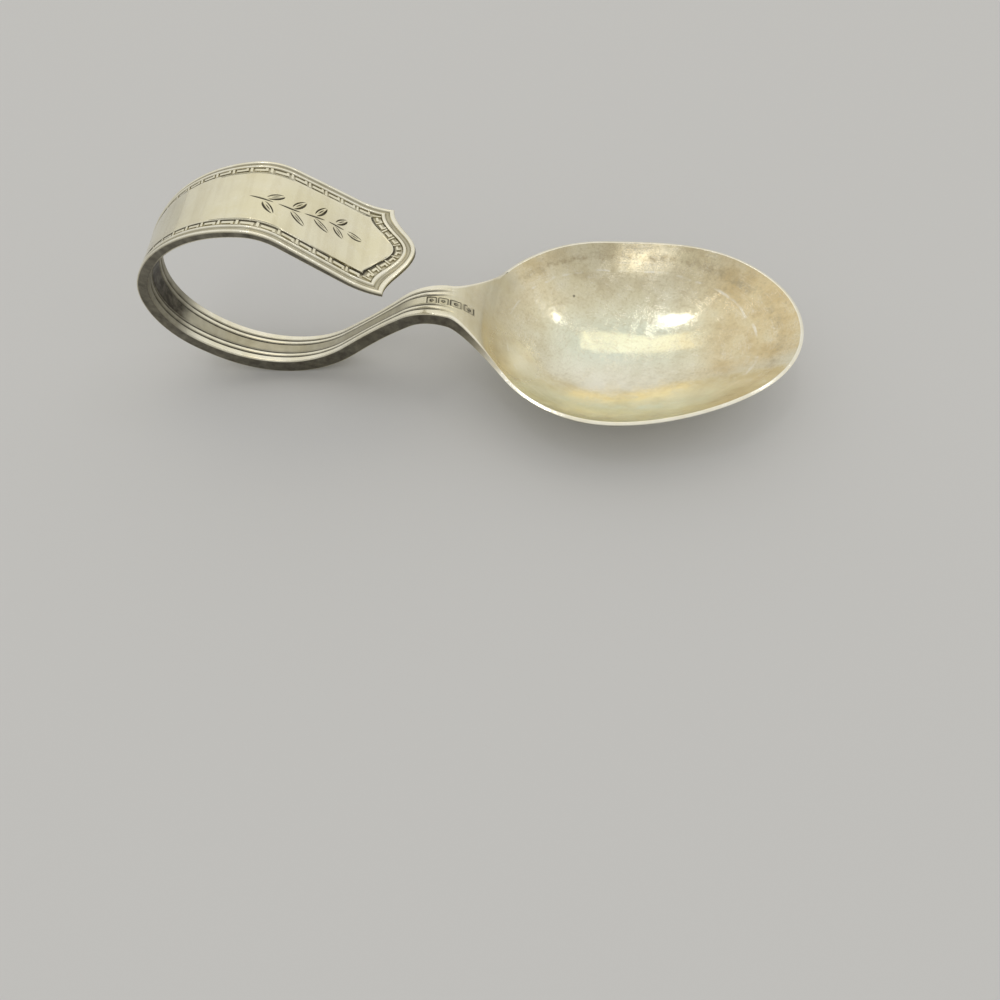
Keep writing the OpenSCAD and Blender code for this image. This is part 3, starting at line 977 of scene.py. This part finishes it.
silver = bpy.data.materials.new("aged_silver")
silver.use_nodes = True
tree = silver.node_tree
shader = tree.nodes["Principled BSDF"]
metres = node(tree, "ShaderNodeTexCoord").outputs["Object"]
scaled = node(tree, "ShaderNodeVectorMath", {0: metres, "Scale": 1 / MM}, operation="SCALE")
spot = scaled.outputs["Vector"]
recess, worn, tone, cool, basin, reach = [
    node(tree, "ShaderNodeAttribute", attribute_name=key).outputs["Fac"] for key in bowl.values]
clouds = noise_node(spot, 0.17, 3.0)
patches = noise_node(spot, 0.3, 5.0, 0.6)
mottle = noise_node(spot, 0.9, 6.0, 0.65)
specks = noise_node(spot, 2.4, 4.0, 0.7)
grain = noise_node(spot, 9.0, 3.0)
broken = ramp_node(noise_node(spot, 0.5, 2.0), 0.4, 0.62)
drawn = node(tree, "ShaderNodeMapping", {"Vector": spot, "Scale": (1.0, 0.08, 1.0)}).outputs["Vector"]
handle = less(1.0, basin)
bands = times(noise_node(drawn, 1.0, 1.0), handle)
walls = times(basin, less(1.0, cool))

colour = blend_node(ramp_node(clouds, 0.35, 0.65), fresh_silver, warm_silver)
colour = blend_node(times(tone, ramp_node(patches, -0.1, 0.95)), colour, gold_film)
colour = blend_node(times(cool, 0.85), colour, cool_film)

stain = times(ramp_node(patches, 0.42, 0.66), plus(times(walls, patch_stain), bare_stain))
stain = plus(stain, times(ramp_node(bands, 0.42, 0.65), band_stain))
stain = plus(stain, times(ramp_node(mottle, 0.5, 0.72), times(walls, mottle_stain)))
stain = plus(stain, times(ramp_node(specks, 0.52, 0.66), times(walls, speck_stain)))
for turn, length, width in dark_scratches:
    stain = plus(stain, times(scratch_node(spot, turn, length, width, 0.03), times(basin, score_stain)))
tide = ring_node(reach, times(patches, 0.08), tide_reach, 0.035, 0.005)
tide = times(tide, ramp_node(mottle, 0.35, 0.65))
stain = plus(stain, times(times(tide, basin), tide_stain))
colour = blend_node(stain, colour, stained)

axes = node(tree, "ShaderNodeSeparateXYZ", {"Vector": spot}).outputs
wiped = node(tree, "ShaderNodeCombineXYZ", {"X": times(reach, 95.0), "Y": times(axes["X"], 0.16),
                                            "Z": times(axes["Y"], 0.16)}).outputs["Vector"]
lines = times(hair_node(wiped, 0.03), basin)
for turn, length, width in light_scratches:
    lines = plus(lines, scratch_node(spot, turn, length, width, 0.02))
lines = times(lines, broken)
rub = times(ring_node(reach, times(clouds, 0.06), rub_reach, 0.009, 0.003), times(broken, basin))
bright = plus(times(worn, ramp_node(patches, 1.1, 0.1)), times(lines, line_shine))
bright = plus(bright, times(rub, rub_shine))
colour = blend_node(bright, colour, rubbed)

# The metal darkens by the point value that holds both tarnish, in grooves, cuts, punched places and round
# the keys, and painted shade, on the band's walls, inside the loop and over the neck and heel.
grime_and_shade = math_node("MULTIPLY", recess, plus(times(mottle, 0.55), 0.72), clamp=True)
colour = blend_node(grime_and_shade, colour, dark_tarnish_and_shade)
pit = ramp_node(plus(off_node(spot, pit_place), times(grain, 0.1)), 0.3, 0.16)
colour = blend_node(times(pit, 0.75), colour, pit_dark)
tree.links.new(colour, shader.inputs["Base Color"])
shader.inputs["Metallic"].default_value = 1.0

haze = plus(times(ramp_node(mottle, 0.35, 0.8), mottle_haze), least_haze)
dulled = ramp_node(off_node(spot, dulled_place), 6.5, 1.5)
hazes = ((walls, wall_haze), (handle, handle_haze), (grime_and_shade, grime_haze), (dulled, dulled_haze))
for share, amount in hazes:
    haze = plus(haze, times(share, amount))
tree.links.new(haze, shader.inputs["Roughness"])
uneven = plus(noise_node(spot, 0.4, 2.0), bands)
waves = node(tree, "ShaderNodeBump",
             {"Height": uneven, "Strength": bump_strength, "Distance": wave_height})
scuffs = node(tree, "ShaderNodeBump",
              {"Height": less(times(grain, 0.35), lines), "Strength": bump_strength,
               "Distance": scuff_height, "Normal": waves.outputs["Normal"]})
tree.links.new(scuffs.outputs["Normal"], shader.inputs["Normal"])


# The blank is parted at its named places. The shading runs over the partings as over one surface,
# because each point takes its slope from all the metal around it.
weld_gap = 2e-7
sliver = 1e-8
same_spot = 5e-7


def mesh_from(shape, name):
    mesh = bpy.data.meshes.new(name)
    shape.to_mesh(mesh)
    shape.free()
    return mesh


def in_scene(name, data):
    made = bpy.data.objects.new(name, data)
    bpy.context.scene.collection.objects.link(made)
    return made


def made_mesh(skin, name):
    """The closed mesh of one skin, with each face's kind: 0 open, 1 hidden, 2 cut."""
    shape = bmesh.new()
    layers = {key: shape.verts.layers.float.new(key) for key in skin.values}
    kind = shape.faces.layers.int.new("kind")
    points = [shape.verts.new(np.array(p) * MM) for p in skin.points]
    for key, layer in layers.items():
        for point, value in zip(points, skin.values[key]):
            point[layer] = value
    for number, faces in enumerate((skin.faces, skin.hidden, skin.cuts)):
        for corners in faces:
            face = shape.faces.new([points[k] for k in corners])
            face[kind] = number
            face.smooth = True
    bmesh.ops.remove_doubles(shape, verts=shape.verts, dist=weld_gap)
    bmesh.ops.dissolve_degenerate(shape, edges=shape.edges, dist=sliver)
    bmesh.ops.recalc_face_normals(shape, faces=shape.faces)
    loose = [v for v in shape.verts if not v.link_faces]
    bmesh.ops.delete(shape, geom=loose, context="VERTS")
    return mesh_from(shape, name)


def face_kinds(mesh):
    kinds = np.zeros(len(mesh.polygons), np.int32)
    mesh.attributes["kind"].data.foreach_get("value", kinds)
    return kinds


def shade_as_one(meshes):
    """Sets the corner normals: open faces share those of all meshes, the others stay flat."""
    spots = np.concatenate([[v.co for v in m.vertices] for m in meshes])
    rounded = np.round(spots / same_spot).astype(np.int64)
    welded = np.unique(rounded, axis=0, return_inverse=True)[1].ravel()
    leans = np.zeros((welded.max() + 1, 3))
    start = 0
    for mesh in meshes:
        for face, kind in zip(mesh.polygons, face_kinds(mesh)):
            if kind == 0:
                for k in face.vertices:
                    leans[welded[start + k]] += np.array(face.normal) * face.area
        start += len(mesh.vertices)
    leans /= np.maximum(np.linalg.norm(leans, axis=1, keepdims=True), 1e-30)
    start = 0
    for mesh in meshes:
        corners = np.zeros((len(mesh.loops), 3))
        for face, kind in zip(mesh.polygons, face_kinds(mesh)):
            for loop in face.loop_indices:
                corners[loop] = face.normal
                if kind == 0:
                    corners[loop] = leans[welded[start + mesh.loops[loop].vertex_index]]
        mesh.normals_split_custom_set([tuple(n) for n in corners])
        mesh.attributes.remove(mesh.attributes["kind"])
        start += len(mesh.vertices)


def settle(mesh, name, stands_for):
    piece = in_scene(name, mesh)
    mesh.materials.clear()
    mesh.materials.append(silver)
    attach(piece, "root")
    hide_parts(stands_for)


blank_meshes = {name: made_mesh(skin, name) for name, skin in blank.items()}
shade_as_one(list(blank_meshes.values()))
for name, skin in blank.items():
    settle(blank_meshes[name], name, skin.name)


# The border's mouldings: a round bead along the edge, a hollow, and a reed beside the key channel, struck
# with the blank along both sides of the shield and mitred where they turn round its point.
rail_height = 0.28
rail_fade = 8.5
least_swell = 0.08
# Share of the width, share of the height and darkness over the bead, the hollow and the reed; down the
# bead's outer side the darkness is painted shade, as on the band's walls, and elsewhere it is tarnish
rail_profile = [(0.0, -0.03, 0.5), (0.0, 0.3, 0.45), (0.0, 0.45, 0.1)]
for a in np.radians(np.linspace(20, 160, 9)):
    rail_profile.append((0.17 - 0.17 * math.cos(a), 0.45 + 0.5 * math.sin(a), 0.0))
rail_profile += [(0.345, 0.4, 0.35), (0.38, 0.22, 0.65), (0.44, 0.12, 0.5), (0.51, 0.09, 0.38),
                 (0.58, 0.13, 0.48), (0.64, 0.26, 0.6)]
for a in np.radians(np.linspace(10, 165, 10)):
    rail_profile.append((0.81 - 0.14 * math.cos(a), 0.4 + 0.6 * math.sin(a), 0.0))
rail_profile += [(0.96, 0.25, 0.6), (1.0, -0.03, 0.9)]
rail_profile = np.array(rail_profile)
rail_insets = rail_width * rail_profile[:, 0]


def rail_row(side, spots):
    """One section of a moulding; spots gives each profile point's place along and across the band."""
    row = []
    for (at, y), (over, up) in zip(spots, rail_profile[:, :2]):
        swell = float(mix(least_swell, 1, rise(at, marks[3], rail_fade)))
        level = edge_metal(at) + edge_fall * relief(at) * over + rail_height * taper(at) * swell * up
        row.append(place(at, np.array([side * y]), level)[0])
    return row


def rail_skin(node_name, sections):
    skin = Skin(node_name)
    crest = rise(rail_profile[:, 1], 0.5, 0.3)
    rows = [skin.add(row, recess=rail_profile[:, 2], worn=crest) for row in sections]
    for a, b in zip(rows[:-1], rows[1:]):
        skin.strip(a, b)
        skin.hidden.append((a[-1], a[0], b[0], b[-1]))
    skin.hidden.append(tuple(rows[0]))
    skin.hidden.append(tuple(rows[-1]))
    return skin


def side_sections(side):
    sections = []
    for s in np.concatenate([rows_between(marks[3], fret_start, row_step)[:-1], shield_rows]):
        sections.append(rail_row(side, [(s, half_width(s) - d * taper(s)) for d in rail_insets]))
    q = taper(fret_end)
    for reach in mitre_rows:
        sections.append(rail_row(side, [mitre_spot(d * q, d, reach) for d in rail_insets]))
    return sections


def point_section(side, u):
    return rail_row(side, [point_spot(d, u) for d in rail_insets])


point_sections = [point_section(-1, u) for u in point_shares]
point_sections += [point_section(1, u) for u in point_shares[-2::-1]]
rail_skins = {"near_moulding": rail_skin("near_rail", side_sections(-1)),
              "far_moulding": rail_skin("far_rail", side_sections(1)),
              "point_moulding": rail_skin("point_rail", point_sections)}
for name, skin in rail_skins.items():
    mesh = made_mesh(skin, name)
    shade_as_one([mesh])
    settle(mesh, name, skin.name)


# The key fret: a row of small raised keys standing in the channel of the border, struck with the rest.
# Each unit is a bar across the channel and an arm with a hook at its end.
fret_height = 0.17
fade_keys = 5
fade_share = 0.7
point_units = 5
bar_outline = [(-0.49, -0.47), (-0.36, -0.47), (-0.36, 0.47), (-0.49, 0.47)]
side_arm = [(-0.25, -0.22), (0.28, -0.22), (0.28, -0.45), (0.41, -0.45), (0.41, 0.22), (-0.25, 0.22)]
point_arm = [(-0.2, -0.1), (0.2, -0.1), (0.2, -0.42), (0.36, -0.42), (0.36, 0.16), (-0.2, 0.16)]
key_root = -0.2
key_round = 0.035
key_wear = 0.4
key_dirt = 0.5
least_y = 0.02
cell_labels = ("along", "outward", "cell")


def key_object(name, side, arm_outline):
    """One unit of the fret in a cell of 1 by 1 by 1, with softened upper edges."""
    shape = bmesh.new()
    for outline in (bar_outline, arm_outline):
        base = [shape.verts.new((x, side * y, key_root)) for x, y in outline]
        raised = bmesh.ops.extrude_face_region(shape, geom=[shape.faces.new(base)])
        top = [v for v in raised["geom"] if isinstance(v, bmesh.types.BMVert)]
        for v in top:
            v.co.z = 1.0
        edges = [e for e in shape.edges if all(v in top for v in e.verts)]
        bmesh.ops.bevel(shape, geom=edges, offset=key_round, segments=2, profile=0.6, affect="EDGES")
    bmesh.ops.recalc_face_normals(shape, faces=shape.faces)
    wear = shape.verts.layers.float.new("worn")
    dirt = shape.verts.layers.float.new("recess")
    for v in shape.verts:
        v[wear] = key_wear if v.co.z > 0.9 else 0.0
        v[dirt] = 0.0 if v.co.z > 0.5 else key_dirt
    return in_scene(name, mesh_from(shape, name))


def fret_tree():
    """Sets a key on every point of a path, along its cell and as long and wide, up to the height given."""
    tree = bpy.data.node_groups.new("key_fret", "GeometryNodeTree")
    for name, kind in (("Path", "Geometry"), ("Key", "Object"), ("Height", "Float"),
                       ("Finish", "Material")):
        tree.interface.new_socket(name, in_out="INPUT", socket_type="NodeSocket" + kind)
    tree.interface.new_socket("Fret", in_out="OUTPUT", socket_type="NodeSocketGeometry")
    given = node(tree, "NodeGroupInput").outputs
    along, outward, cell = [node(tree, "GeometryNodeInputNamedAttribute", {"Name": label},
                                 data_type="FLOAT_VECTOR").outputs[0] for label in cell_labels]
    turn = node(tree, "FunctionNodeAxesToRotation", {0: outward, 1: along},
                primary_axis="Z", secondary_axis="X")
    tall = node(tree, "ShaderNodeCombineXYZ", {"X": 1.0, "Y": 1.0, "Z": given["Height"]})
    size = node(tree, "ShaderNodeVectorMath", {0: cell, 1: tall.outputs[0]}, operation="MULTIPLY")
    dots = node(tree, "GeometryNodeMeshToPoints", {"Mesh": given["Path"]})
    key = node(tree, "GeometryNodeObjectInfo", {"Object": given["Key"]})
    keys = node(tree, "GeometryNodeInstanceOnPoints",
                {"Points": dots.outputs[0], "Instance": key.outputs["Geometry"],
                 "Rotation": turn.outputs[0], "Scale": size.outputs[0]})
    real = node(tree, "GeometryNodeRealizeInstances", {"Geometry": keys.outputs[0]})
    dressed = node(tree, "GeometryNodeSetMaterial",
                   {"Geometry": real.outputs[0], "Material": given["Finish"]})
    node(tree, "NodeGroupOutput", {0: dressed.outputs[0]})
    return tree


def channel_cells(corners, fade):
    """Middle, direction, outward lean, and length, width and share of height of each cell; the first few
    rise to the full height."""
    cells = []
    for i in range(len(corners) - 1):
        a, c = corners[i]
        b, d = corners[i + 1]
        middle = (a + b + c + d) / 4
        along = unit((b - a) + (d - c))
        across = (c - a + d - b) / 2
        outward = unit(np.cross(along, across))
        if outward[2] < 0:
            outward = -outward
        length = np.linalg.norm(b - a + d - c) / 2
        square = across - along * (across @ along)
        share = min(1, 1 - fade_share + fade_share * (i + 1) / fade)
        cells.append((middle * MM, along, outward, (length * MM, np.linalg.norm(square) * MM, share)))
    return cells


def keys_along(cells, tree, key):
    """The fret keys of one row of cells, as a plain mesh."""
    mesh = bpy.data.meshes.new("fret_path")
    mesh.from_pydata([tuple(cell[0]) for cell in cells], [], [])
    for k, label in enumerate(cell_labels):
        values = mesh.attributes.new(label, "FLOAT_VECTOR", "POINT")
        values.data.foreach_set("vector", np.array([cell[k + 1] for cell in cells], np.float32).ravel())
    path = in_scene("fret_path", mesh)
    setting = path.modifiers.new("fret", "NODES")
    setting.node_group = tree
    held = {item.name: item.identifier for item in tree.interface.items_tree if item.in_out == "INPUT"}
    setting[held["Key"]] = key
    setting[held["Height"]] = fret_height * MM
    setting[held["Finish"]] = silver
    bpy.context.view_layer.update()
    ready = path.evaluated_get(bpy.context.evaluated_depsgraph_get())
    laid = bpy.data.meshes.new_from_object(ready)
    bpy.data.objects.remove(path)
    bpy.data.objects.remove(key)
    return laid


def fret_piece(name, stands_for, parts):
    shape = bmesh.new()
    for part in parts:
        shape.from_mesh(part)
    mesh = mesh_from(shape, name)
    for label in cell_labels:
        if label in mesh.attributes:
            mesh.attributes.remove(mesh.attributes[label])
    settle(mesh, name, stands_for)


def channel_row(side, spots):
    return [place(at, np.array([side * max(y, least_y)]), floor_level(at))[0] for at, y in spots]


channel_insets = (rail_width, rail_width + channel_width)
side_spots = [[(s, half_width(s) - d * taper(s)) for d in channel_insets]
              for s in np.linspace(fret_start, fret_end, fret_keys + 1)]
point_spots = [[point_spot(d, u) for d in channel_insets] for u in np.linspace(0, 1, point_units + 1)]
fret = fret_tree()
side_keys = []
point_keys = []
for side in (-1, 1):
    for keys, arm, spots, fade in ((side_keys, side_arm, side_spots, fade_keys),
                                   (point_keys, point_arm, point_spots, 1)):
        cells = channel_cells([channel_row(side, row) for row in spots], fade)
        keys.append(keys_along(cells, fret, key_object("key", -side, arm)))
fret_piece("near_keys", "near_fret", side_keys[:1])
fret_piece("far_keys", "far_fret", side_keys[1:])
fret_piece("point_keys", "point_fret", point_keys)


# The studio: a pale floor that the spoon lies on, a light tent with soft boxes above it, and a camera
# close over the near side.
floor_reach = 2
floor_colour = (0.66, 0.665, 0.695, 1)
floor_roughness = 0.8
tent_front = (0.58, 0.57, 0.525)
tent_back = (0.68, 0.668, 0.614)
tent_top = (0.84, 0.825, 0.76)
tent_near = (0.53, 0.52, 0.48)
camera_place = (-11.8, -64.3, 80.8)
camera_turn = math.radians(-3.17)
camera_roll = math.radians(-1.49)
picture_width = 1000
focal_length = 693
horizon_height = 1342
sensor_width = 36

floor_mesh = bpy.data.meshes.new("floor")
corners = [(x * floor_reach, y * floor_reach, 0) for x, y in ((-1, -1), (1, -1), (1, 1), (-1, 1))]
floor_mesh.from_pydata(corners, [], [(0, 1, 2, 3)])
floor = in_scene("floor", floor_mesh)
paper = bpy.data.materials.new("pale_paper")
paper.use_nodes = True
paper_inputs = paper.node_tree.nodes["Principled BSDF"].inputs
paper_inputs["Base Color"].default_value = floor_colour
paper_inputs["Roughness"].default_value = floor_roughness
floor_mesh.materials.append(paper)

world = bpy.data.worlds.new("tent")
bpy.context.scene.world = world
world.use_nodes = True
tree = world.node_tree
toward = node(tree, "ShaderNodeTexCoord").outputs["Generated"]
toward = node(tree, "ShaderNodeSeparateXYZ", {0: toward}).outputs
glow = blend_node(ramp_node(toward["Y"], 0.2, 0.8), tent_front, tent_back)
glow = blend_node(ramp_node(toward["Z"], 0.0, 0.75), glow, tent_top)
glow = blend_node(ramp_node(toward["Y"], 0.1, -0.8), glow, tent_near)
tree.links.new(glow, tree.nodes["Background"].inputs["Color"])


def soft_box(name, toward, distance, size, power, colour):
    lamp = bpy.data.lights.new(name, "AREA")
    lamp.shape = "RECTANGLE"
    lamp.size, lamp.size_y = size
    lamp.energy = power
    lamp.color = colour
    box = in_scene(name, lamp)
    box.location = Vector(toward).normalized() * distance
    box.rotation_euler = Vector(toward).to_track_quat("Z", "Y").to_euler()


soft_box("key_box", (-0.25, 0.04, 0.967), 1.0, (0.13, 0.085), 0.22, (1.0, 0.99, 0.97))
soft_box("warm_box", (0.0, 0.42, 0.91), 1.0, (0.62, 0.3), 0.25, (1.0, 0.82, 0.45))
soft_box("side_lamp", (0.59, 0.17, 0.79), 1.0, (0.09, 0.08), 0.09, (1.0, 0.98, 0.94))
soft_box("fill_box", (-0.14, -0.6, 0.79), 1.2, (0.3, 0.2), 0.2, (1.0, 0.97, 0.9))

fall = math.atan2(horizon_height, focal_length)
aim = Matrix.Rotation(-camera_turn, 4, "Z") @ Matrix.Rotation(math.pi / 2 - fall, 4, "X")
aim = aim @ Matrix.Rotation(camera_roll, 4, "Z")
camera_data = bpy.data.cameras.new("camera")
camera_data.sensor_width = sensor_width
camera_data.lens = focal_length / picture_width * sensor_width
camera_data.clip_start = 0.005
camera = in_scene("camera", camera_data)
camera.matrix_world = Matrix.Translation(Vector(camera_place) * MM) @ aim
bpy.context.scene.camera = camera
bpy.context.scene.view_settings.view_transform = "Standard"
